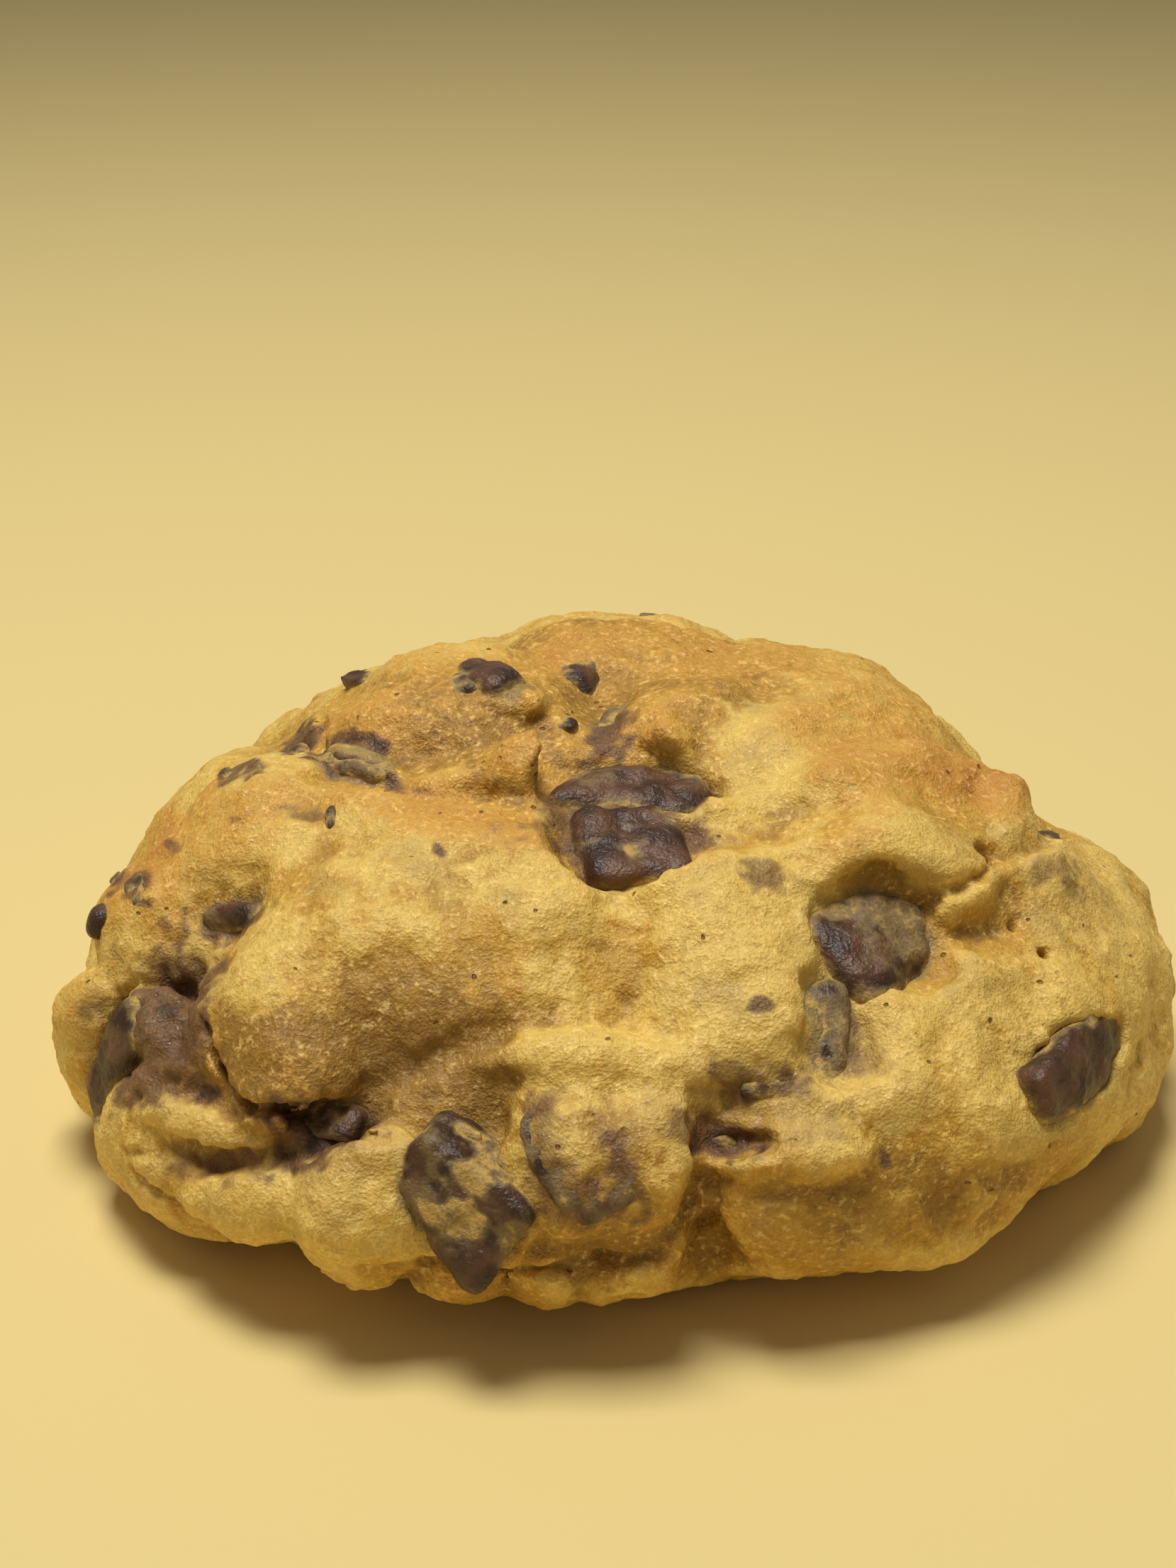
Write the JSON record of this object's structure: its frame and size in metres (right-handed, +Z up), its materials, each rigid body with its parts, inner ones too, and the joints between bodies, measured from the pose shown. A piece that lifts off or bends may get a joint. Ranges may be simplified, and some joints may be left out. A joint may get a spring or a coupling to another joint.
{
  "type": "chocolate chip cookie",
  "caption": "Thick lumpy baked cookie with a folded, browned top and chocolate chunks set into its dough, resting on a flat underside.",
  "frame": {"origin": "middle of the whole cookie's footprint box, at the table", "axes": "+Z up; the folded, chunk-filled front faces -Y; +X is to the right seen from the front"},
  "size_m": [0.085, 0.0821, 0.0332],
  "materials": {
    "baked_dough": "soft baked crumb, golden with browned high spots",
    "chocolate": "dark milk chocolate, softly glossy, dusty with crumb"
  },
  "bodies": {
    "root": {"dough": "baked_dough", "crater_chunk_back": "chocolate", "crater_chunk_front": "chocolate", "hollow_chunk": "chocolate", "low_chunk": "chocolate", "right_chunk": "chocolate", "front_chunk": "chocolate", "left_slab": "chocolate", "under_tongue_chunk": "chocolate", "pyramid_chunk": "chocolate", "rim_chunk": "chocolate", "swirl_chunk": "chocolate", "crust_chunk": "chocolate", "flap_chunk": "chocolate", "chocolate_curl": "chocolate", "back_chunk_a": "chocolate", "back_chunk_b": "chocolate", "back_chunk_c": "chocolate"}
  },
  "joints": []
}
